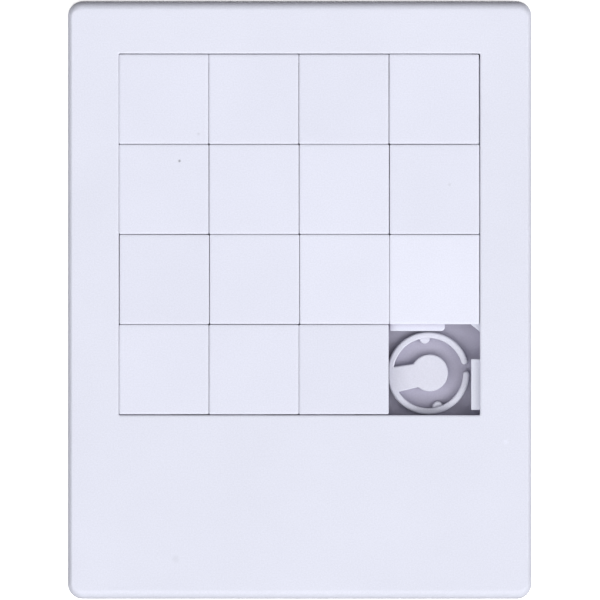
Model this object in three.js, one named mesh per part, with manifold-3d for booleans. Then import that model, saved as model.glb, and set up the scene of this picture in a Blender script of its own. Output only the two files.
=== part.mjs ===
// A flat sliding tile puzzle: a moulded front frame on a back plate, fifteen blank square tiles
// that interlock by tongues and grooves, and a loose split ring lying in the one open cell.
//
// Millimetres, +Z up. The puzzle lies on its back: X runs across it, +Y is the top edge of the
// frame, and the origin is under the middle of the outline, on the surface it rests on.

import * as THREE from "three";
import { mergeVertices } from "three/addons/utils/BufferGeometryUtils.js";
import Module from "manifold-3d";

// ---- Driving dimensions -------------------------------------------------------------------

const FRAME_WIDTH = 77.3;
const FRAME_HEIGHT = 99.7;
const CORNER_RADIUS = 2.5;
const FACE_ROUND = 1.6; // quarter round along the outer edge of the face
const BACK_ROUND = 0.4; // small round along the outer edge of the back plate

const BACK_THICKNESS = 1.0;
const FACE_Z = 5.0; // height of the frame's face and of the tiles' faces

const GRID = 4; // cells each way
const TILE_SIZE = 14.9;
const TILE_CLEARANCE = 0.12; // between two neighbouring tiles
const LEFT_CLEARANCE = 0.05; // between the first column and its wall
const TOP_CLEARANCE = 0.15; // between the first row and its wall
const OPENING_LEFT = -30.15;
const OPENING_RIGHT = 30.08;
const OPENING_TOP = 41.08;
const OPENING_BOTTOM = -19.22;

const TILE_UNDER_Z = 2.6;
const GROOVE_LOW_Z = 3.15;
const GROOVE_HIGH_Z = 4.2;
const TONGUE_CLEARANCE = 0.15; // over and under a tongue in its groove
const GROOVE_DEPTH = 1.6;
const TILE_TONGUE_REACH = 1.15;
const TILE_TONGUE_LENGTH = 9.2; // each tile tongue starts at the lower left corner
const FRAME_TONGUE_REACH = 1.5;
const FRAME_TONGUE_CHAMFER = 1.2;
const NOTCH_FROM = 1.2; // the right wall's tongue stops this far below the last row's top
const NOTCH_TO = 5.7; // and starts again this far below it
const FRAME_TONGUE_END = 0.9; // gap from a frame tongue's end to the corner of the opening

const INSERT_X = 21.45; // centre of the split ring
const INSERT_Y = -12.2;
const INSERT_TURN = 11; // degrees that the ring has turned where it lies
const INSERT_FLOOR_GAP = 0.05;
const INSERT_HEIGHT = 1.4;
const RING_OUTER = 6.9;
const RING_INNER = 5.82;
const SPLIT_FROM = -13; // degrees, in the ring's own frame
const SPLIT_TO = 7;
const PAD_RADIUS = 3.1;
const PAD_OFFSET = 0.23; // the pad's centre lies this far from the ring's, away from the arm
const ARM_ROOT_WIDTH = 4.3;
const ARM_NECK_WIDTH = 4.0;
const RELIEF = 0.1; // clearance of the ring's flat to the tile beside it
const NUB_RADIUS = 0.9;
const NUB_HEIGHT = 0.8;
const NUB_ANGLE = 85;

const CUT = 1; // how far a cutting solid runs past what it cuts
const CORNER_STEPS = 6;
const ROUND_STEPS = 5;
const RING_STEPS = 32;

// ---- Worked out from them -----------------------------------------------------------------

const PITCH = TILE_SIZE + TILE_CLEARANCE;
const GRID_LEFT = OPENING_LEFT + LEFT_CLEARANCE;
const GRID_TOP = OPENING_TOP - TOP_CLEARANCE;
const LAST_ROW_TOP = GRID_TOP - (GRID - 1) * PITCH;
const TONGUE_LOW_Z = GROOVE_LOW_Z + TONGUE_CLEARANCE;
const TONGUE_HIGH_Z = GROOVE_HIGH_Z - TONGUE_CLEARANCE;
const INSERT_Z = BACK_THICKNESS + INSERT_FLOOR_GAP;
const LEFT_TILE_FACE = GRID_LEFT + (GRID - 2) * PITCH + TILE_SIZE;

// ---- Solids: three.js geometry, joined and cut by manifold-3d --------------------------------

const wasm = await Module();
wasm.setup();

function toSolid(geometry) {
  const bare = geometry.index ? geometry.toNonIndexed() : geometry.clone();
  bare.deleteAttribute("normal");
  bare.deleteAttribute("uv");
  const merged = mergeVertices(bare, 1e-4);
  return new wasm.Manifold(
    new wasm.Mesh({
      numProp: 3,
      vertProperties: merged.getAttribute("position").array,
      triVerts: new Uint32Array(merged.index.array),
    }),
  );
}

function toGeometry(solid) {
  const mesh = solid.getMesh();
  const shared = new THREE.BufferGeometry();
  shared.setAttribute("position", new THREE.BufferAttribute(mesh.vertProperties, 3));
  shared.setIndex(new THREE.BufferAttribute(mesh.triVerts, 1));
  const flat = shared.toNonIndexed();
  flat.computeVertexNormals();
  return flat;
}

// A box between two corners.
function block(low, high) {
  const size = high.map((value, axis) => value - low[axis]);
  const middle = high.map((value, axis) => (value + low[axis]) / 2);
  return toSolid(new THREE.BoxGeometry(...size).translate(...middle));
}

// A shape in the XY plane, raised from z = low to z = high.
function prism(shape, low, high) {
  const geometry = new THREE.ExtrudeGeometry(shape, {
    depth: high - low,
    bevelEnabled: false,
    curveSegments: CORNER_STEPS,
  });
  return toSolid(geometry.translate(0, 0, low));
}

// ---- Frame and back plate -----------------------------------------------------------------

// The outline of the frame, inset by a margin, with its rounded corners.
function frameOutline(inset) {
  const x = FRAME_WIDTH / 2 - inset;
  const y = FRAME_HEIGHT / 2 - inset;
  const r = CORNER_RADIUS - inset;
  const shape = new THREE.Shape();
  shape.absarc(x - r, y - r, r, 0, Math.PI / 2);
  shape.absarc(-x + r, y - r, r, Math.PI / 2, Math.PI);
  shape.absarc(-x + r, -y + r, r, Math.PI, Math.PI * 1.5);
  shape.absarc(x - r, -y + r, r, Math.PI * 1.5, Math.PI * 2);
  shape.closePath();
  return shape;
}

// The frame's outline from z = low to z = high, both of its edges rounded by a quarter round.
function roundedSlab(low, high, round) {
  const geometry = new THREE.ExtrudeGeometry(frameOutline(round), {
    depth: high - low - 2 * round,
    bevelThickness: round,
    bevelSize: round,
    bevelSegments: ROUND_STEPS,
    curveSegments: CORNER_STEPS,
  });
  return toSolid(geometry.translate(0, 0, low + round));
}

// Everything between two heights, wider than the frame.
function layer(low, high) {
  const x = FRAME_WIDTH / 2 + CUT;
  const y = FRAME_HEIGHT / 2 + CUT;
  return block([-x, -y, low], [x, y, high]);
}

// The tongue on the right wall: one long run beside the first rows, a notch in the last row
// through which the tiles are put in, and a short run below it.
function rightWallTongue() {
  const tip = OPENING_RIGHT - FRAME_TONGUE_REACH;
  const root = OPENING_RIGHT + CUT;
  const long = new THREE.Shape();
  const end = LAST_ROW_TOP - NOTCH_FROM;
  long.moveTo(root, OPENING_TOP - FRAME_TONGUE_END);
  long.lineTo(tip, OPENING_TOP - FRAME_TONGUE_END);
  long.lineTo(tip, end + FRAME_TONGUE_CHAMFER);
  long.lineTo(OPENING_RIGHT, end);
  long.lineTo(root, end);
  long.closePath();
  const short = block(
    [tip, OPENING_BOTTOM + FRAME_TONGUE_END, TONGUE_LOW_Z],
    [root, LAST_ROW_TOP - NOTCH_TO, TONGUE_HIGH_Z],
  );
  return prism(long, TONGUE_LOW_Z, TONGUE_HIGH_Z).add(short);
}

function topWallTongue() {
  return block(
    [OPENING_LEFT + FRAME_TONGUE_END, OPENING_TOP - FRAME_TONGUE_REACH, TONGUE_LOW_Z],
    [OPENING_RIGHT - FRAME_TONGUE_REACH, OPENING_TOP + CUT, TONGUE_HIGH_Z],
  );
}

function frontFrame() {
  const top = roundedSlab(BACK_THICKNESS - FACE_ROUND - CUT, FACE_Z, FACE_ROUND);
  const slab = top.intersect(layer(BACK_THICKNESS, FACE_Z + CUT));
  const opening = block(
    [OPENING_LEFT, OPENING_BOTTOM, 0],
    [OPENING_RIGHT, OPENING_TOP, FACE_Z + CUT],
  );
  const leftGroove = block(
    [OPENING_LEFT - GROOVE_DEPTH, OPENING_BOTTOM - GROOVE_DEPTH, GROOVE_LOW_Z],
    [OPENING_LEFT + CUT, OPENING_TOP, GROOVE_HIGH_Z],
  );
  const bottomGroove = block(
    [OPENING_LEFT - GROOVE_DEPTH, OPENING_BOTTOM - GROOVE_DEPTH, GROOVE_LOW_Z],
    [OPENING_RIGHT, OPENING_BOTTOM + CUT, GROOVE_HIGH_Z],
  );
  const walls = slab.subtract(opening).subtract(leftGroove).subtract(bottomGroove);
  return walls.add(rightWallTongue()).add(topWallTongue());
}

function backPlate() {
  const slab = roundedSlab(0, BACK_THICKNESS + BACK_ROUND + CUT, BACK_ROUND);
  return slab.intersect(layer(-CUT, BACK_THICKNESS));
}

// ---- Tiles ----------------------------------------------------------------------------------

// A tongue lies along +X from the origin and reaches towards -Y, with a rounded far corner.
function tongueShape() {
  const round = TILE_TONGUE_REACH * 0.6;
  const shape = new THREE.Shape();
  shape.moveTo(0, CUT);
  shape.lineTo(0, -TILE_TONGUE_REACH);
  shape.absarc(
    TILE_TONGUE_LENGTH - round,
    -TILE_TONGUE_REACH + round,
    round,
    -Math.PI / 2,
    0,
  );
  shape.lineTo(TILE_TONGUE_LENGTH, CUT);
  shape.closePath();
  return shape;
}

// A tile with its lower left corner at x = 0, y = 0: tongues below and on the left, grooves
// above and on the right, so that every tile locks into all of its neighbours.
function tile() {
  const body = block([0, 0, TILE_UNDER_Z], [TILE_SIZE, TILE_SIZE, FACE_Z]);
  const lowTongue = prism(tongueShape(), TONGUE_LOW_Z, TONGUE_HIGH_Z);
  const leftTongue = lowTongue.mirror([1, -1, 0]);
  const topGroove = block(
    [-CUT, TILE_SIZE - GROOVE_DEPTH, GROOVE_LOW_Z],
    [TILE_SIZE + CUT, TILE_SIZE + CUT, GROOVE_HIGH_Z],
  );
  const rightGroove = block(
    [TILE_SIZE - GROOVE_DEPTH, -CUT, GROOVE_LOW_Z],
    [TILE_SIZE + CUT, TILE_SIZE + CUT, GROOVE_HIGH_Z],
  );
  const locked = body.add(lowTongue).add(leftTongue);
  return locked.subtract(topGroove).subtract(rightGroove);
}

// ---- Split ring -------------------------------------------------------------------------------

const radians = THREE.MathUtils.degToRad;

// Seen from above in its own frame: a split ring with a pad in the middle, held by one arm that
// comes in from the side opposite the split.
function ringOutline() {
  const middle = (RING_OUTER + RING_INNER) / 2;
  const wall = RING_OUTER - RING_INNER;
  const from = radians(SPLIT_FROM);
  const to = radians(SPLIT_TO);
  const rootAngle = Math.asin(ARM_ROOT_WIDTH / 2 / RING_INNER);
  const neckAngle = Math.asin(ARM_NECK_WIDTH / 2 / PAD_RADIUS);
  const shape = new THREE.Shape();
  shape.absarc(0, 0, RING_OUTER, to, from + 2 * Math.PI);
  shape.absarc(
    middle * Math.cos(from),
    middle * Math.sin(from),
    wall / 2,
    from,
    from + Math.PI,
  );
  shape.absarc(0, 0, RING_INNER, from + 2 * Math.PI, Math.PI + rootAngle, true);
  shape.absarc(PAD_OFFSET, 0, PAD_RADIUS, -Math.PI + neckAngle, Math.PI - neckAngle);
  shape.absarc(0, 0, RING_INNER, Math.PI - rootAngle, to, true);
  shape.absarc(
    middle * Math.cos(to),
    middle * Math.sin(to),
    wall / 2,
    to + Math.PI,
    to + 2 * Math.PI,
  );
  shape.closePath();
  return shape;
}

function nub(angle) {
  const geometry = new THREE.CylinderGeometry(NUB_RADIUS, NUB_RADIUS, NUB_HEIGHT, 20);
  geometry.rotateX(Math.PI / 2);
  geometry.translate(
    RING_INNER * Math.cos(radians(angle)),
    RING_INNER * Math.sin(radians(angle)),
    NUB_HEIGHT / 2,
  );
  return toSolid(geometry);
}

// The ring where it lies, with the small flat that clears the tile on its left.
function splitRing() {
  const outline = new THREE.ExtrudeGeometry(ringOutline(), {
    depth: INSERT_HEIGHT,
    bevelEnabled: false,
    curveSegments: RING_STEPS,
  });
  const ring = toSolid(outline).add(nub(NUB_ANGLE)).add(nub(-NUB_ANGLE));
  const placed = ring.rotate([0, 0, INSERT_TURN]).translate([INSERT_X, INSERT_Y, INSERT_Z]);
  const beside = block(
    [LEFT_TILE_FACE - PITCH, INSERT_Y - RING_OUTER - CUT, 0],
    [LEFT_TILE_FACE + RELIEF, INSERT_Y + RING_OUTER + CUT, FACE_Z],
  );
  return placed.subtract(beside);
}

// ---- Assembly -----------------------------------------------------------------------------

const puzzle = new THREE.Group();

function addPiece(name, solid, colour, roughness) {
  const material = new THREE.MeshStandardMaterial({ color: colour, roughness, metalness: 0 });
  const mesh = new THREE.Mesh(toGeometry(solid), material);
  mesh.name = name;
  puzzle.add(mesh);
  return mesh;
}

addPiece("front_frame", frontFrame(), 0xe6e8f4, 0.45);
addPiece("back_plate", backPlate(), 0xe2e4f0, 0.5);
addPiece("split_ring_insert", splitRing(), 0xe0e2f0, 0.4);

const tileSolid = tile();
for (let row = 0; row < GRID; row += 1) {
  for (let column = 0; column < GRID; column += 1) {
    if (row === GRID - 1 && column === GRID - 1) continue; // the open cell
    const piece = addPiece(`tile_r${row + 1}_c${column + 1}`, tileSolid, 0xe8eaf6, 0.4);
    piece.position.x = GRID_LEFT + column * PITCH;
    piece.position.y = GRID_TOP - row * PITCH - TILE_SIZE;
  }
}

export default puzzle;
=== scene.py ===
import math
import random

import bpy
from mathutils import Matrix, Vector


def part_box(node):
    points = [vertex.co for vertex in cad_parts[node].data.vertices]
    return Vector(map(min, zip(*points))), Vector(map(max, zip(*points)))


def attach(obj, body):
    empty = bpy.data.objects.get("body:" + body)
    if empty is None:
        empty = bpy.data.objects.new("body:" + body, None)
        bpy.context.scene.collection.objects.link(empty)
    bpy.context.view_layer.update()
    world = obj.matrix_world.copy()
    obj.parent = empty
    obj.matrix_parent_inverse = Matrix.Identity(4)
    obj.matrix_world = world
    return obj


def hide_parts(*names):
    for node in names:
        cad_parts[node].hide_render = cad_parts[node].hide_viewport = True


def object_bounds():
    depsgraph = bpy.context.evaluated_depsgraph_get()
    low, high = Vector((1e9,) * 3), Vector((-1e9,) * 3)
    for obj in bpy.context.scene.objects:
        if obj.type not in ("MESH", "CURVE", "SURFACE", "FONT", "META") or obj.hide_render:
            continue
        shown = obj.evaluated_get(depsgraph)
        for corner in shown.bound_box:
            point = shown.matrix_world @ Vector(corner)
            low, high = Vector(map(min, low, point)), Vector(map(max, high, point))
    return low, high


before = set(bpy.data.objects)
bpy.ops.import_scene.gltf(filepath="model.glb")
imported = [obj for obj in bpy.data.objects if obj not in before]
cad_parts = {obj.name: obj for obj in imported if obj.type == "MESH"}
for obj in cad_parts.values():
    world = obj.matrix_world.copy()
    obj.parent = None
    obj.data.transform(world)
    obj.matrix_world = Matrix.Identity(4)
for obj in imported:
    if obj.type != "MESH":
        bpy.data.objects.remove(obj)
cad_low, cad_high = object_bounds()

# ---- Sizes that the frame doesn't give, in metres ----------------------------------------------

MM = 0.001

CORNER_RADIUS = 2.5 * MM  # corners of the outline
FACE_ROUND = 1.6 * MM  # outer edge of the frame's face, from above
FACE_ROUND_DEPTH = 1.95 * MM  # and down its side
SIDE_SHARE = 0.50  # the long sides' rounds are this much as wide as the ends'
BACK_ROUND = 0.4 * MM  # outer edge of the back
SEAM_CHAMFER = 0.12 * MM  # the two mouldings meet in a fine V groove
LIP_WIDTH = 0.5 * MM  # the face dips a little toward the opening
LIP_SLOPE = 0.5
LIP_ROUND = 0.05 * MM
OPENING_CORNER = 0.25 * MM

TILE_REACH = 1.15 * MM  # how far a tile's tongues stand out
TILE_TONGUE_LENGTH = 9.2 * MM
TILE_TONGUE_CORNER = TILE_REACH * 0.6  # round at a tongue's far corner
PILLOW_WIDTH = 0.65 * MM  # a tile's face dips a little toward its edges
PILLOW_SLOPE = 0.3
TILE_EDGE_ROUND = 0.03 * MM
TILE_SPREAD = 0.01 * MM  # a tile's rim stands out this far from the nominal outline
TILE_CORNER = 0.22 * MM
TILE_UNDER_ROUND = 0.1 * MM
GROOVE_DEPTH = 1.6 * MM
GROOVE_LOW = 0.55 * MM  # above the tile's underside
GROOVE_HIGH = 1.6 * MM
TONGUE_CLEARANCE = 0.15 * MM
TONGUE_ROUND = 0.14 * MM

LEFT_CLEARANCE = 0.05 * MM  # between the first column and its wall
TOP_CLEARANCE = 0.15 * MM  # between the first row and its wall
OPENING_WIDTH = 60.23 * MM
OPENING_HEIGHT = 60.3 * MM
FRAME_REACH = 1.5 * MM  # how far the frame's tongues stand out
FRAME_TONGUE_END = 0.9 * MM  # gap from a tongue's end to the opening's corner
FRAME_TONGUE_CHAMFER = 1.2 * MM
NOTCH_FROM = 1.2 * MM  # the right wall's tongue stops this far below the last row's top
NOTCH_TO = 5.7 * MM  # and starts again this far below it

RING_OUTER = 6.9 * MM
RING_INNER = 5.82 * MM
RING_TURN = math.radians(11)  # the ring lies turned by this much
SPLIT = (math.radians(-13), math.radians(7))  # the gap, in the ring's own frame
PAD_RADIUS = 3.1 * MM
PAD_OFFSET = 0.23 * MM  # from the ring's centre, away from the arm's root
ARM_ROOT = 4.3 * MM  # the arm's width at the ring
ARM_NECK = 4.0 * MM  # and at the pad
RING_OUTER_ROUND = 0.42 * MM
RING_INNER_ROUND = 0.30 * MM
NUB_RADIUS = 0.9 * MM
NUB_HEIGHT = 0.8 * MM
NUB_ROUND = 0.3 * MM
NUB_ANGLE = math.radians(85)

EJECTOR_RADIUS = 2.0 * MM  # eight faint round marks on the underside
EJECTOR_DEPTH = 0.06 * MM
EJECTOR_SPREAD = Vector((27 * MM, 38 * MM))
GATE_RADIUS = 3.2 * MM  # and the sunken gate mark in the middle, with its nib
GATE_DEPTH = 0.3 * MM
GATE_NIB_RADIUS = 0.8 * MM

LEAST_RADIUS = 0.01 * MM
CUT = 1.0 * MM  # how far a cutting solid runs past what it cuts
BEVEL_ANGLE = math.radians(30)  # edges that turn by more than this are rounded
SHARP_ANGLE = math.radians(32)  # and those that still do so by more than this are shaded sharp

OUTLINE_STEPS = 18  # segments of each corner of the two large mouldings
FACE_ROUND_STEPS = 14
BACK_ROUND_STEPS = 6
MARK_STEPS = 40
NIB_STEPS = 20
HOLE_CORNER_STEPS = 5
TILE_CORNER_STEPS = 4
TILE_UNDER_STEPS = 2
DIP_STEPS = 5
TONGUE_CORNER_STEPS = 6
TONGUE_ROUND_STEPS = 3
OUTER_ARC_STEPS = 96
INNER_ARC_STEPS = 44
PAD_ARC_STEPS = 60
CAP_STEPS = 12
RING_ROUND_STEPS = 6
NUB_STEPS = 24
NUB_ROUND_STEPS = 5

GRID = 4
CELLS = [(row, column) for row in range(1, GRID + 1) for column in range(1, GRID + 1)][:-1]
TILE_NODES = {cell: f"tile_r{cell[0]}_c{cell[1]}" for cell in CELLS}

# ---- How the tiles differ ----------------------------------------------------------------------

# How far each tile lies to the right of its place, row by row, in millimetres.
SHIFTS = (
    (0.0, -0.02, -0.03, -0.01),
    (0.01, 0.02, 0.02, 0.06),
    (0.09, 0.10, 0.09, 0.05),
    (0.02, 0.01, -0.03),
)
TURN_LIMIT = math.radians(0.05)
DRIFT_LIMIT = 0.02 * MM  # how far a tile lies toward the top edge or the bottom edge
TILE_TONES_AND_HIGHLIGHT = {
    (1, 4): 1.008,
    (2, 3): 1.006,
    (3, 1): 0.985,
    (3, 3): 1.018,
    # Painted light: the tile above the gap is toned five percent lighter, standing in for a slight
    # tilt toward the light. The other tones are the tiles' own.
    (3, 4): 1.05,
    (4, 3): 0.98,
}
TONE_SPREAD = (0.997, 1.003)
SEED = 7

# ---- Colours, plastics and marks ---------------------------------------------------------------

FRAME_COLOUR = (0.60, 0.615, 0.70)
TILE_COLOUR = (0.605, 0.62, 0.71)
# Painted shade: the loose ring is coloured a little darker than the tiles, standing in for the
# dimmer light at its depth in the pocket.
RING_SHADED_COLOUR = (0.565, 0.57, 0.655)
# Painted shade: the pocket floor under the opening is coloured darker, standing in for the shade
# deep in the recess.
POCKET_SHADE_COLOUR = (0.345, 0.333, 0.42)
# Dust with painted shade: the colour that ambient occlusion lays into corners, crevices and gaps.
DUST_SHADE_COLOUR = (0.20, 0.17, 0.26)

MOTTLE_SCALE, MOTTLE_TONES = 70, (0.984, 1.008)
SPECKLE_SCALE, SPECKLE_TONES = 4200, (0.948, 1.042)
SPECKLE_RANGE = (0.25, 0.75)
FRAME_SHADED_ENDS = (0.995, 1.015)  # the frame's tones at its lower and its upper end, a painted shading that is lighter upward
END_FADE = (0.02, 0.045)  # in metres, where one turns into the other
DUST_SHADE_REACH = 1.5 * MM
DUST_SHADE_OPENNESS = (0.35, 0.95)  # dust and painted shade lie thickest at the first and are gone at the second
SPECK_SCALE = 130
SPECK_SIZE = (0.012, 0.02)
SPECK_RARITY = 0.8
SPECK_TONE = 0.55
SCRATCH_SCALE, SCRATCH_NOISE = 12, 3.0
SCRATCH_RUNS = ((0.5, 60), (2.0, 45))  # direction and how far it is drawn out
SCRATCH_CUTOFF = (0.70, 0.74)
SCRATCH_ROUGHNESS = 0.12
SCRATCH_HEIGHT = 0.6
GLOSS_SCALE, GLOSS_SPREAD = 260, (0.04, 0.05)
GRAIN_SCALE = 5200
WAVE_SCALE, WAVE_HEIGHT = 500, 1.5
GRAIN_DEPTH = 0.02 * MM
NOISE_RANGE = (0.3, 0.7)  # where most of a noise's values lie
PLASTIC_IOR = 1.46
PLASTIC_SPECULAR = 0.35

# Specks and smudges on the faces: place, radius, in millimetres, and change of tone.
TILE_MARKS = (
    (-20.03, 23.17, 0.3, -0.55),
    (-16.87, 27.67, 0.35, -0.12),
    (24.97, 19.25, 0.35, -0.12),
)
FRAME_MARKS = ((-20.70, -43.17, 0.8, -0.07), (34.38, -23.67, 0.6, 0.06))
MARK_CORE = 0.3  # share of a mark's radius that has the whole change of tone

# ---- Light, floor and camera -------------------------------------------------------------------

# Each soft light: its middle, seen from the puzzle, its size, and its watts per square metre.
LIGHTS = {
    "long_strip": ((14.0, -3.32, 5.12), (72.0, 3.0), 10.6),
    "right_panel": ((6.0, -0.5, 4.2), (2.5, 6.0), 20.0),
    "left_panel": ((-6.0, -0.5, 4.2), (2.5, 6.0), 7.8),
    "overhead_panel": ((0.0, 0.0, 6.0), (4.0, 4.0), 3.1),
}
ROOM_STRENGTH = 0.133
ROOM_COLOUR = (1.0, 0.93, 1.0)
HORIZON = (0.0, 0.5)  # the room brightens between these heights of a direction of length one

FLOOR_HALF_SIZE = 3.0
FLOOR_GAP = 0.02 * MM
FLOOR_GRAIN_SCALE, FLOOR_TONES = 900, (0.93, 0.96)
FLOOR_GLOW = 0.45

VIEW_WIDTH = 100.0 * MM
CAMERA_X = 0.05 * MM
CAMERA_LENS, CAMERA_SENSOR = 800, 36
CAMERA_CLIP = (0.01, 20)

# ---- Places, from the frame --------------------------------------------------------------------

first_low, first_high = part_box(TILE_NODES[1, 1])
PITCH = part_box(TILE_NODES[1, 2])[1].x - first_high.x
TILE_SIZE = first_high.x - first_low.x - TILE_REACH
GROOVE_Z = (first_low.z + GROOVE_LOW, first_low.z + GROOVE_HIGH)
TONGUE_Z = (GROOVE_Z[0] + TONGUE_CLEARANCE, GROOVE_Z[1] - TONGUE_CLEARANCE)
OPENING_LOW = Vector(
    (
        first_high.x - TILE_SIZE - LEFT_CLEARANCE,
        first_high.y + TOP_CLEARANCE - OPENING_HEIGHT,
    )
)
OPENING_HIGH = OPENING_LOW + Vector((OPENING_WIDTH, OPENING_HEIGHT))
LAST_ROW_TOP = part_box(TILE_NODES[4, 3])[1].y

# ---- Mesh kit ----------------------------------------------------------------------------------


def new_piece(name, mesh):
    piece = bpy.data.objects.new(name, mesh)
    bpy.context.scene.collection.objects.link(piece)
    return piece


def arc(centre, radius, start, end, steps):
    """Points of an arc from one angle to another, both ends included."""
    angles = [start + (end - start) * step / steps for step in range(steps + 1)]
    return [
        (centre[0] + radius * math.cos(angle), centre[1] + radius * math.sin(angle))
        for angle in angles
    ]


def rounded_rectangle(low, high, radius, steps, radius_y=None):
    """A rectangle with rounded corners, anticlockwise. A second radius, along Y, makes them
    elliptical."""
    stretch = (radius_y or radius) / radius
    left, right = low[0] + radius, high[0] - radius
    bottom, top = low[1] / stretch + radius, high[1] / stretch - radius
    points = []
    for quarter, centre in enumerate(((right, top), (left, top), (left, bottom), (right, bottom))):
        start = quarter * math.pi / 2
        points += arc(centre, radius, start, start + math.pi / 2, steps)
    return [(x, y * stretch) for x, y in points]


def loft(name, rings):
    """A closed solid through rings of equally many points, lowest ring first."""
    count = len(rings[0])
    vertices = [point for ring in rings for point in ring]
    faces = [tuple(reversed(range(count)))]
    for level in range(len(rings) - 1):
        start = level * count
        for index in range(count):
            after = (index + 1) % count
            here, there = start + index, start + after
            faces.append((here, there, there + count, here + count))
    faces.append(tuple(range(len(vertices) - count, len(vertices))))
    mesh = bpy.data.meshes.new(name)
    mesh.from_pydata(vertices, [], faces)
    return new_piece(name, mesh)


def rounded_block(name, low, high, radius, profile, steps, side_share=1.0):
    """A block whose outline is drawn in by each inset of the profile at its height, and at its
    left and right by a share of it."""
    rings = []
    for inset, height in profile:
        side = inset * side_share
        outline = rounded_rectangle(
            (low[0] + side, low[1] + inset),
            (high[0] - side, high[1] - inset),
            max(radius - side, LEAST_RADIUS),
            steps,
            max(radius - inset, LEAST_RADIUS),
        )
        rings.append([(x, y, height) for x, y in outline])
    return loft(name, rings)


def round_over(top, size, steps, depth=None):
    """Insets and heights of a quarter round, or of one drawn out to a depth, that ends level at
    the top."""
    angles = [math.pi / 2 * step / steps for step in range(steps + 1)]
    return [
        (size * (1 - math.cos(angle)), top - (depth or size) * (1 - math.sin(angle)))
        for angle in angles
    ]


def dip_toward_edge(top, width, slope, edge_round):
    """Insets and heights of a small round, then of a face that levels out over the width."""
    drop = width * slope / 3
    points = [
        (edge_round * (1 - math.cos(angle)), top - drop - edge_round * (1 - math.sin(angle)))
        for angle in (0, math.pi / 6, math.pi / 3)
    ]
    for step in range(DIP_STEPS + 1):
        share = step / DIP_STEPS
        points.append((edge_round + (width - edge_round) * share, top - drop * (1 - share) ** 3))
    return points


def round_under(bottom, size, steps):
    """Insets and heights of a quarter round that starts level at the bottom."""
    upward = reversed(round_over(bottom, size, steps))
    return [(inset, 2 * bottom - height) for inset, height in upward]


def box(low, high):
    rings = []
    for height in (low[2], high[2]):
        rings.append(
            [
                (high[0], high[1], height),
                (low[0], high[1], height),
                (low[0], low[1], height),
                (high[0], low[1], height),
            ]
        )
    return loft("box", rings)


def prism(name, outline, low, high):
    return loft(name, [[(x, y, height) for x, y in outline] for height in (low, high)])


def disc(centre, radius, low, high, steps):
    return prism("disc", arc(centre, radius, 0, 2 * math.pi, steps)[:-1], low, high)


def bake_modifiers(piece):
    graph = bpy.context.evaluated_depsgraph_get()
    mesh = bpy.data.meshes.new_from_object(piece.evaluated_get(graph))
    old = piece.data
    piece.modifiers.clear()
    piece.data = mesh
    mesh.name = old.name
    bpy.data.meshes.remove(old)


def combine(piece, other, operation):
    """Joins the other solid to the piece, or cuts it from the piece, and uses it up."""
    modifier = piece.modifiers.new("combine", "BOOLEAN")
    modifier.object = other
    modifier.operation = operation
    modifier.solver = "EXACT"
    bake_modifiers(piece)
    bpy.data.objects.remove(other)


def soften(piece, size, segments):
    """Rounds each edge that turns by more than the bevel angle."""
    modifier = piece.modifiers.new("soften", "BEVEL")
    modifier.limit_method = "ANGLE"
    modifier.angle_limit = BEVEL_ANGLE
    modifier.width = size
    modifier.segments = segments
    bake_modifiers(piece)
    return piece


def finish_surface(piece):
    """Smooth shading across the rounds, with the flat faces kept flat."""
    piece.data.shade_smooth()
    piece.data.set_sharp_from_angle(angle=SHARP_ANGLE)
    normals = piece.modifiers.new("normals", "WEIGHTED_NORMAL")
    normals.keep_sharp = True
    return piece


# ---- Frame moulding ----------------------------------------------------------------------------


def wall_tongue(outline):
    """A tongue of the frame, its edges slightly rounded, to be joined to a wall."""
    bar = prism("tongue", outline, *TONGUE_Z)
    return soften(bar, TONGUE_ROUND, TONGUE_ROUND_STEPS)


def right_wall_outlines():
    """The run beside the upper rows, with its chamfered end, and the short run below the notch."""
    tip, root = OPENING_HIGH.x - FRAME_REACH, OPENING_HIGH.x + CUT
    start, end = OPENING_HIGH.y - FRAME_TONGUE_END, LAST_ROW_TOP - NOTCH_FROM
    long_run = [
        (root, start),
        (tip, start),
        (tip, end + FRAME_TONGUE_CHAMFER),
        (OPENING_HIGH.x, end),
        (root, end),
    ]
    low, high = OPENING_LOW.y + FRAME_TONGUE_END, LAST_ROW_TOP - NOTCH_TO
    short_run = [(root, high), (tip, high), (tip, low), (root, low)]
    return long_run, short_run


def top_wall_outline():
    left, right = OPENING_LOW.x + FRAME_TONGUE_END, OPENING_HIGH.x - FRAME_REACH
    low, high = OPENING_HIGH.y - FRAME_REACH, OPENING_HIGH.y + CUT
    return [(right, high), (left, high), (left, low), (right, low)]


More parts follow.
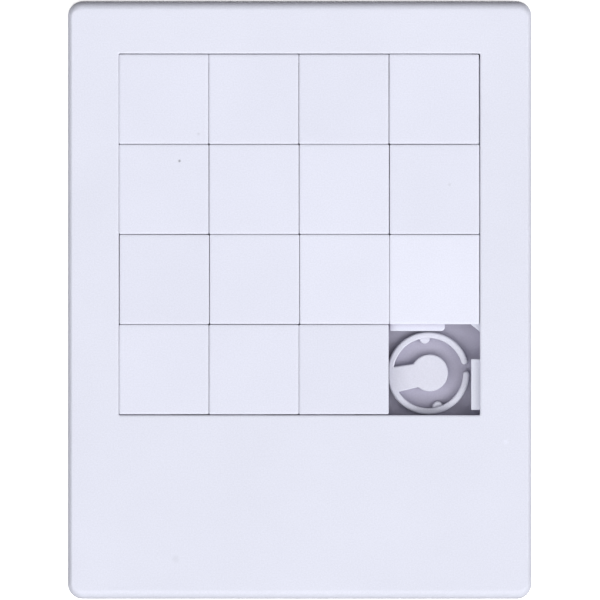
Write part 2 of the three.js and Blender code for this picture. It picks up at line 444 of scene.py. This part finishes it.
def make_frame():
    low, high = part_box("front_frame")
    profile = [(SEAM_CHAMFER, low.z), (0, low.z + SEAM_CHAMFER)]
    profile += round_over(high.z, FACE_ROUND, FACE_ROUND_STEPS, FACE_ROUND_DEPTH)
    piece = rounded_block(
        "frame_moulding", low, high, CORNER_RADIUS, profile, OUTLINE_STEPS, SIDE_SHARE
    )
    lip = dip_toward_edge(high.z, LIP_WIDTH, LIP_SLOPE, LIP_ROUND)
    hole = [(0, low.z - CUT)] + [(-inset, height) for inset, height in lip]
    hole.append((-LIP_WIDTH, high.z + CUT))
    opening = rounded_block(
        "hole", OPENING_LOW, OPENING_HIGH, OPENING_CORNER, hole, HOLE_CORNER_STEPS
    )
    combine(piece, opening, "DIFFERENCE")
    corner = OPENING_LOW - Vector((GROOVE_DEPTH, GROOVE_DEPTH))
    left_groove = box(
        (corner.x, corner.y, GROOVE_Z[0]), (OPENING_LOW.x + CUT, OPENING_HIGH.y, GROOVE_Z[1])
    )
    combine(piece, left_groove, "DIFFERENCE")
    bottom_groove = box(
        (corner.x, corner.y, GROOVE_Z[0]), (OPENING_HIGH.x, OPENING_LOW.y + CUT, GROOVE_Z[1])
    )
    combine(piece, bottom_groove, "DIFFERENCE")
    for outline in (*right_wall_outlines(), top_wall_outline()):
        combine(piece, wall_tongue(outline), "UNION")
    return finish_surface(piece)


# ---- Back moulding -----------------------------------------------------------------------------


def make_back():
    """The floor of the tray. Its last face, of the second material, is the part of its top that
    lies under the opening, coloured darker there as painted shade for the deep recess."""
    low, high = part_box("back_plate")
    profile = round_under(low.z, BACK_ROUND, BACK_ROUND_STEPS)
    profile += [(0, high.z - SEAM_CHAMFER), (SEAM_CHAMFER, high.z)]
    rings = []
    for inset, height in profile:
        outline = rounded_rectangle(
            (low.x + inset, low.y + inset),
            (high.x - inset, high.y - inset),
            CORNER_RADIUS - inset,
            OUTLINE_STEPS,
        )
        rings.append([(x, y, height) for x, y in outline])
    margin = Vector((CUT, CUT))
    pocket = rounded_rectangle(
        OPENING_LOW - margin, OPENING_HIGH + margin, OPENING_CORNER, OUTLINE_STEPS
    )
    rings.append([(x, y, high.z) for x, y in pocket])
    piece = loft("back_moulding", rings)
    piece.data.materials.append(None)
    piece.data.materials.append(None)
    piece.data.polygons[-1].material_index = 1
    for side in (-1, 0, 1):
        for end in (-1, 0, 1):
            centre = (side * EJECTOR_SPREAD.x, end * EJECTOR_SPREAD.y)
            radius, depth = EJECTOR_RADIUS, EJECTOR_DEPTH
            if side == 0 and end == 0:
                radius, depth = GATE_RADIUS, GATE_DEPTH
            mark = disc(centre, radius, low.z - CUT, low.z + depth, MARK_STEPS)
            combine(piece, mark, "DIFFERENCE")
    nib_low, nib_high = low.z + GATE_DEPTH / 2, low.z + GATE_DEPTH + CUT / 2
    nib = disc((0, 0), GATE_NIB_RADIUS, nib_low, nib_high, NIB_STEPS)
    combine(piece, nib, "UNION")
    return finish_surface(piece)


# ---- Tiles -------------------------------------------------------------------------------------


def tongue_outline(corner, across):
    """A tile's tongue along its lower side, or along its left side with the axes swapped."""
    size = TILE_TONGUE_CORNER
    centre = (TILE_TONGUE_LENGTH - size, -TILE_REACH + size)
    points = [(0, CUT), (0, -TILE_REACH)]
    points += arc(centre, size, -math.pi / 2, 0, TONGUE_CORNER_STEPS)
    points.append((TILE_TONGUE_LENGTH, CUT))
    if not across:
        points = [(y, x) for x, y in reversed(points)]
    return [(corner.x + x, corner.y + y) for x, y in points]


def make_tile_mesh():
    """The first tile, where it lies. The others are copies of it, moved by whole pitches."""
    corner = Vector((first_low.x + TILE_REACH, first_low.y + TILE_REACH))
    far = Vector((first_high.x, first_high.y))
    profile = round_under(first_low.z, TILE_UNDER_ROUND, TILE_UNDER_STEPS)
    profile += dip_toward_edge(first_high.z, PILLOW_WIDTH, PILLOW_SLOPE, TILE_EDGE_ROUND)
    spread = Vector((TILE_SPREAD, TILE_SPREAD))
    outline = (corner.xy - spread, far + spread)
    piece = rounded_block("tile", *outline, TILE_CORNER, profile, TILE_CORNER_STEPS)
    for across in (True, False):
        bar = prism("tongue", tongue_outline(corner, across), *TONGUE_Z)
        combine(piece, soften(bar, TONGUE_ROUND, TONGUE_ROUND_STEPS), "UNION")
    edge = far - Vector((GROOVE_DEPTH, GROOVE_DEPTH))
    top_groove = box(
        (corner.x - CUT, edge.y, GROOVE_Z[0]), (far.x + CUT, far.y + CUT, GROOVE_Z[1])
    )
    combine(piece, top_groove, "DIFFERENCE")
    right_groove = box(
        (edge.x, corner.y - CUT, GROOVE_Z[0]), (far.x + CUT, far.y + CUT, GROOVE_Z[1])
    )
    combine(piece, right_groove, "DIFFERENCE")
    mesh = piece.data
    bpy.data.objects.remove(piece)
    return mesh


def make_tiles():
    """Each tile lies a little off its place and a little turned, and has its own tone. The tile
    above the gap is toned lighter as painted light.
    """
    chance = random.Random(SEED)
    pattern = make_tile_mesh()
    tiles = {}
    for cell, node in TILE_NODES.items():
        row, column = cell
        move = Vector(((column - 1) * PITCH, -(row - 1) * PITCH, 0))
        mesh = pattern.copy()
        mesh.transform(Matrix.Translation(move))
        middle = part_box(node)[1] - Vector((TILE_SIZE / 2, TILE_SIZE / 2, 0))
        across = SHIFTS[row - 1][column - 1] * MM
        shift = Vector((across, chance.uniform(-1, 1) * DRIFT_LIMIT, 0))
        turn = Matrix.Rotation(chance.uniform(-1, 1) * TURN_LIMIT, 4, "Z")
        mesh.transform(
            Matrix.Translation(middle + shift) @ turn @ Matrix.Translation(-middle)
        )
        tone_and_highlight = mesh.attributes.new("tone_and_highlight", "FLOAT", "POINT")
        value = TILE_TONES_AND_HIGHLIGHT.get(cell, 1.0) * chance.uniform(*TONE_SPREAD)
        tone_and_highlight.data.foreach_set("value", [value] * len(mesh.vertices))
        tiles[cell] = finish_surface(new_piece(f"white_{node}", mesh))
    bpy.data.meshes.remove(pattern)
    return tiles


# ---- Split ring --------------------------------------------------------------------------------


def ring_outline(share):
    """The ring, its arm and its pad from above, with the arm along -X, as (x, y, size) points.
    Every edge is drawn in by this share of its own round's size."""
    outer = RING_OUTER - RING_OUTER_ROUND * share
    inner = RING_INNER + RING_INNER_ROUND * share
    pad = PAD_RADIUS - RING_INNER_ROUND * share
    middle, half_wall = (outer + inner) / 2, (outer - inner) / 2
    start, end = SPLIT
    root = math.asin((ARM_ROOT / 2 - RING_INNER_ROUND * share) / inner)
    neck = math.asin((ARM_NECK / 2 - RING_INNER_ROUND * share) / pad)
    full = 2 * math.pi
    cap = (middle * math.cos(start), middle * math.sin(start))
    other_cap = (middle * math.cos(end), middle * math.sin(end))
    outside = arc((0, 0), outer, end, start + full, OUTER_ARC_STEPS)
    inside = arc((0, 0), inner, start + full, math.pi + root, INNER_ARC_STEPS)
    inside += arc((PAD_OFFSET, 0), pad, -math.pi + neck, math.pi - neck, PAD_ARC_STEPS)
    inside += arc((0, 0), inner, math.pi - root, end, INNER_ARC_STEPS)
    points = [(x, y, RING_OUTER_ROUND) for x, y in outside]
    rounded_end = arc(cap, half_wall, start, start + math.pi, CAP_STEPS)
    points += fading(rounded_end, RING_OUTER_ROUND, RING_INNER_ROUND)
    points += [(x, y, RING_INNER_ROUND) for x, y in inside]
    rounded_end = arc(other_cap, half_wall, end + math.pi, end + full, CAP_STEPS)
    points += fading(rounded_end, RING_INNER_ROUND, RING_OUTER_ROUND)
    return points


def fading(points, first, last):
    """The inner points of an arc, each with a size that goes from the first to the last."""
    steps = len(points) - 1
    return [
        (x, y, first + (last - first) * step / steps) for step, (x, y) in enumerate(points)
    ][1:-1]


def make_ring():
    low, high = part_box("split_ring_insert")
    centre = Vector((high.x - RING_OUTER, (low.y + high.y) / 2))
    rings = [[(x, y, low.z) for x, y, size in ring_outline(0)]]
    for step in range(RING_ROUND_STEPS + 1):
        angle = math.pi / 2 * step / RING_ROUND_STEPS
        drop = 1 - math.sin(angle)
        outline = ring_outline(1 - math.cos(angle))
        rings.append([(x, y, high.z - size * drop) for x, y, size in outline])
    piece = loft("loose_split_ring", rings)
    for angle in (NUB_ANGLE, -NUB_ANGLE):
        spot = (RING_INNER * math.cos(angle), RING_INNER * math.sin(angle))
        circles = []
        top_round = round_over(low.z + NUB_HEIGHT, NUB_ROUND, NUB_ROUND_STEPS)
        for inset, height in [(0, low.z)] + top_round:
            circle = arc(spot, NUB_RADIUS - inset, 0, 2 * math.pi, NUB_STEPS)[:-1]
            circles.append([(x, y, height) for x, y in circle])
        combine(piece, loft("nub", circles), "UNION")
    place = Matrix.Translation((centre.x, centre.y, 0)) @ Matrix.Rotation(RING_TURN, 4, "Z")
    piece.data.transform(place)
    beside = box(
        (low.x - PITCH, centre.y - RING_OUTER - CUT, low.z - CUT),
        (low.x, centre.y + RING_OUTER + CUT, high.z + CUT),
    )
    combine(piece, beside, "DIFFERENCE")
    return finish_surface(piece)


# ---- Moulded plastic ---------------------------------------------------------------------------


class Nodes:
    """A material's node tree, with one short call for each kind of node that the plastics use."""

    def __init__(self, name):
        self.material = bpy.data.materials.new(name)
        self.material.use_nodes = True
        self.tree = self.material.node_tree
        self.tree.nodes.clear()

    def add(self, kind, inputs=(), **settings):
        node = self.tree.nodes.new(kind)
        for key, value in settings.items():
            setattr(node, key, value)
        for key, value in dict(inputs).items():
            if isinstance(value, bpy.types.NodeSocket):
                self.tree.links.new(value, node.inputs[key])
            else:
                node.inputs[key].default_value = value
        return node

    def noise(self, place, scale, detail=2.0):
        inputs = {"Vector": place, "Scale": scale, "Detail": detail, "Roughness": 0.5}
        return self.add("ShaderNodeTexNoise", inputs).outputs["Fac"]

    def ramp(self, value, low, high, to_low, to_high):
        inputs = {
            "Value": value,
            "From Min": low,
            "From Max": high,
            "To Min": to_low,
            "To Max": to_high,
        }
        return self.add("ShaderNodeMapRange", inputs).outputs["Result"]

    def math(self, operation, first, second):
        node = self.add("ShaderNodeMath", {0: first, 1: second}, operation=operation)
        return node.outputs["Value"]

    def blend(self, factor, first, second, blend_type="MIX"):
        """Mixes two colours. The mix node has a socket of the same name for each data type, so its
        colour sockets are found by their number."""
        node = self.add("ShaderNodeMix", data_type="RGBA", blend_type=blend_type)
        for index, value in ((0, factor), (6, first), (7, second)):
            if isinstance(value, bpy.types.NodeSocket):
                self.tree.links.new(value, node.inputs[index])
            else:
                node.inputs[index].default_value = value
        return node.outputs[2]


def plastic(name, colour, roughness, grain, dust_and_shade, toned=False, ends=(1.0, 1.0), marks=()):
    """Satin moulded plastic: fine grain, faint mottling, a few scratches and specks, and dust with
    painted shade darkening the corners. The ends are the tones at the lower and the upper end of
    the piece, a painted shading from one to the other. Each mark is a spot on the face."""
    n = Nodes(name)
    place = n.add("ShaderNodeTexCoord").outputs["Object"]
    # Faint mottling of the colour, and its fine speckle.
    mottle = n.ramp(n.noise(place, MOTTLE_SCALE, detail=3.0), *NOISE_RANGE, *MOTTLE_TONES)
    speckle = n.ramp(n.noise(place, SPECKLE_SCALE), *SPECKLE_RANGE, *SPECKLE_TONES)
    shade = n.math("MULTIPLY", mottle, speckle)
    # Painted shading: the colour grows lighter from the lower end to the upper end.
    if ends != (1.0, 1.0):
        up = n.add("ShaderNodeSeparateXYZ", {0: place}).outputs["Y"]
        shade = n.math("MULTIPLY", shade, n.ramp(up, *END_FADE, *ends))
    for x, y, radius, change in marks:
        centre = (x * MM, y * MM, cad_high.z)
        away = n.add("ShaderNodeVectorMath", {0: place, 1: centre}, operation="DISTANCE")
        core = radius * MM * MARK_CORE
        spot = n.ramp(away.outputs["Value"], core, radius * MM, 1 + change, 1.0)
        shade = n.math("MULTIPLY", shade, spot)
    # Each tile's own tone, with painted light on the tile above the gap.
    if toned:
        tone_and_highlight = n.add("ShaderNodeAttribute", attribute_name="tone_and_highlight").outputs["Fac"]
        shade = n.math("MULTIPLY", shade, tone_and_highlight)
    tinted = n.blend(1.0, (*colour, 1), shade, "MULTIPLY")
    # Dust and painted shade, darkening the colour where surfaces meet, by ambient occlusion.
    corners = n.add("ShaderNodeAmbientOcclusion", {"Distance": DUST_SHADE_REACH}, samples=8)
    dust_and_shade_mask = n.ramp(corners.outputs["AO"], *DUST_SHADE_OPENNESS, dust_and_shade, 0.0)
    dust_and_shade_colour = n.blend(dust_and_shade_mask, tinted, (*DUST_SHADE_COLOUR, 1))
    # A few dark specks of dust.
    cells = {"Vector": place, "Scale": SPECK_SCALE, "Randomness": 1.0}
    spots = n.add("ShaderNodeTexVoronoi", cells)
    near = n.ramp(spots.outputs["Distance"], *SPECK_SIZE, 1.0, 0.0)
    rare = n.math("GREATER_THAN", spots.outputs["Color"], SPECK_RARITY)
    dark = (*(SPECK_TONE * part for part in colour), 1)
    specked = n.blend(n.math("MULTIPLY", near, rare), dust_and_shade_colour, dark)
    # Fine scratches in two directions.
    scratches = None
    for turn, stretch in SCRATCH_RUNS:
        drawn_out = (SCRATCH_SCALE, SCRATCH_SCALE * stretch, SCRATCH_SCALE)
        mapping = {"Vector": place, "Rotation": (0, 0, turn), "Scale": drawn_out}
        along = n.add("ShaderNodeMapping", mapping).outputs["Vector"]
        line = n.ramp(n.noise(along, SCRATCH_NOISE, detail=1.0), *SCRATCH_CUTOFF, 0.0, 1.0)
        scratches = line if scratches is None else n.math("MAXIMUM", scratches, line)
    least, most = roughness - GLOSS_SPREAD[0], roughness + GLOSS_SPREAD[1]
    gloss = n.ramp(n.noise(place, GLOSS_SCALE, detail=3.0), *NOISE_RANGE, least, most)
    gloss = n.math("ADD", gloss, n.math("MULTIPLY", scratches, SCRATCH_ROUGHNESS))
    # The grain, slight waves and the scratches in relief.
    waves = n.math("MULTIPLY", n.noise(place, WAVE_SCALE), WAVE_HEIGHT)
    height = n.math("ADD", n.noise(place, GRAIN_SCALE), waves)
    height = n.math("SUBTRACT", height, n.math("MULTIPLY", scratches, SCRATCH_HEIGHT))
    relief = {"Strength": grain, "Distance": GRAIN_DEPTH, "Height": height}
    bump = n.add("ShaderNodeBump", relief)
    shader = n.add(
        "ShaderNodeBsdfPrincipled",
        {
            "Base Color": specked,
            "Roughness": gloss,
            "Normal": bump.outputs["Normal"],
            "IOR": PLASTIC_IOR,
            "Specular IOR Level": PLASTIC_SPECULAR,
        },
    )
    output = n.add("ShaderNodeOutputMaterial")
    n.tree.links.new(shader.outputs["BSDF"], output.inputs["Surface"])
    return n.material


# ---- Floor, light and camera -------------------------------------------------------------------


def make_floor():
    """A plain white table, seen from above only."""
    far = FLOOR_HALF_SIZE
    corners = [(-far, -far, 0), (far, -far, 0), (far, far, 0), (-far, far, 0)]
    mesh = bpy.data.meshes.new("floor")
    mesh.from_pydata(corners, [], [(0, 1, 2, 3)])
    floor = new_piece("floor", mesh)
    floor.location.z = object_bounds()[0].z - FLOOR_GAP
    n = Nodes("white_floor")
    place = n.add("ShaderNodeTexCoord").outputs["Object"]
    grain = n.ramp(n.noise(place, FLOOR_GRAIN_SCALE), *NOISE_RANGE, *FLOOR_TONES)
    white = (1, 1, 1, 1)
    lit = n.add("ShaderNodeBsdfDiffuse", {"Color": n.blend(1.0, white, grain, "MULTIPLY")})
    glow = n.add("ShaderNodeEmission", {"Color": white, "Strength": FLOOR_GLOW})
    both = n.add("ShaderNodeAddShader", {0: lit.outputs[0], 1: glow.outputs[0]})
    clear = n.add("ShaderNodeBsdfTransparent")
    back = n.add("ShaderNodeNewGeometry").outputs["Backfacing"]
    sides = n.add("ShaderNodeMixShader", {0: back, 1: both.outputs[0], 2: clear.outputs[0]})
    output = n.add("ShaderNodeOutputMaterial")
    n.tree.links.new(sides.outputs[0], output.inputs["Surface"])
    mesh.materials.append(n.material)
    floor.visible_diffuse = False  # it lends the object's sides no light, as on a scanner's glass


def make_lights():
    """A long strip in front of the lower edge, high up, three weaker panels and a dim room that
    is darkest at the horizon."""
    for name, (place, size, glow) in LIGHTS.items():
        data = bpy.data.lights.new(name, "AREA")
        data.shape = "RECTANGLE"
        data.size, data.size_y = size
        data.energy = size[0] * size[1] * glow
        light = bpy.data.objects.new(name, data)
        bpy.context.scene.collection.objects.link(light)
        light.location = place
        # A strip stays along X, and every light is turned toward the puzzle.
        toward = Vector((0 if size[0] > 2 * size[1] else -place[0], -place[1], -place[2]))
        light.rotation_euler = toward.to_track_quat("-Z", "Y").to_euler()
        light.visible_camera = False
    world = bpy.data.worlds.new("room")
    world.use_nodes = True
    tree = world.node_tree
    upward = tree.nodes.new("ShaderNodeSeparateXYZ")
    tree.links.new(tree.nodes.new("ShaderNodeTexCoord").outputs["Generated"], upward.inputs[0])
    above = tree.nodes.new("ShaderNodeMapRange")
    above.inputs["From Min"].default_value = HORIZON[0]
    above.inputs["From Max"].default_value = HORIZON[1]
    above.inputs["To Max"].default_value = ROOM_STRENGTH
    tree.links.new(upward.outputs["Z"], above.inputs["Value"])
    sky = tree.nodes["Background"]
    sky.inputs["Color"].default_value = (*ROOM_COLOUR, 1)
    tree.links.new(above.outputs["Result"], sky.inputs["Strength"])
    bpy.context.scene.world = world


def make_camera():
    """Straight above the face, so far away that depth hardly shows."""
    data = bpy.data.cameras.new("camera")
    data.lens, data.sensor_width = CAMERA_LENS, CAMERA_SENSOR
    distance = VIEW_WIDTH / 2 / (data.sensor_width / 2 / data.lens)
    data.clip_start, data.clip_end = CAMERA_CLIP
    camera = bpy.data.objects.new("camera", data)
    bpy.context.scene.collection.objects.link(camera)
    camera.location = (CAMERA_X, 0, cad_high.z + distance)
    bpy.context.scene.camera = camera


# ---- Assembly ----------------------------------------------------------------------------------

frame_plastic = plastic(
    "frame_plastic",
    FRAME_COLOUR,
    roughness=0.60,
    grain=0.35,
    dust_and_shade=0.05,
    ends=FRAME_SHADED_ENDS,
    marks=FRAME_MARKS,
)
back_plastic = plastic("back_plastic", FRAME_COLOUR, roughness=0.60, grain=0.5, dust_and_shade=0.25)
# Painted shade: the darker material of the recess floor.
pocket_shade_plastic = plastic("pocket_shade_plastic", POCKET_SHADE_COLOUR, roughness=0.65, grain=0.4, dust_and_shade=0.05)
tile_plastic = plastic(
    "tile_plastic",
    TILE_COLOUR,
    roughness=0.56,
    grain=0.3,
    dust_and_shade=0.60,
    toned=True,
    marks=TILE_MARKS,
)
# The ring's darker colour is painted shade for its depth.
ring_plastic = plastic("ring_plastic", RING_SHADED_COLOUR, roughness=0.55, grain=0.25, dust_and_shade=0.08)


def mount(piece, material, node, body):
    """Puts the piece in its CAD node's place, on that node's body."""
    if not piece.data.materials:
        piece.data.materials.append(material)
    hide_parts(node)
    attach(piece, body)


mount(make_frame(), frame_plastic, "front_frame", "tray")
back = make_back()
back.data.materials[0] = back_plastic
back.data.materials[1] = pocket_shade_plastic
mount(back, back_plastic, "back_plate", "tray")
mount(make_ring(), ring_plastic, "split_ring_insert", "ring_insert")
for cell, tile in make_tiles().items():
    mount(tile, tile_plastic, TILE_NODES[cell], TILE_NODES[cell] + "_body")

make_floor()
make_lights()
make_camera()
bpy.context.scene.view_settings.view_transform = "Standard"
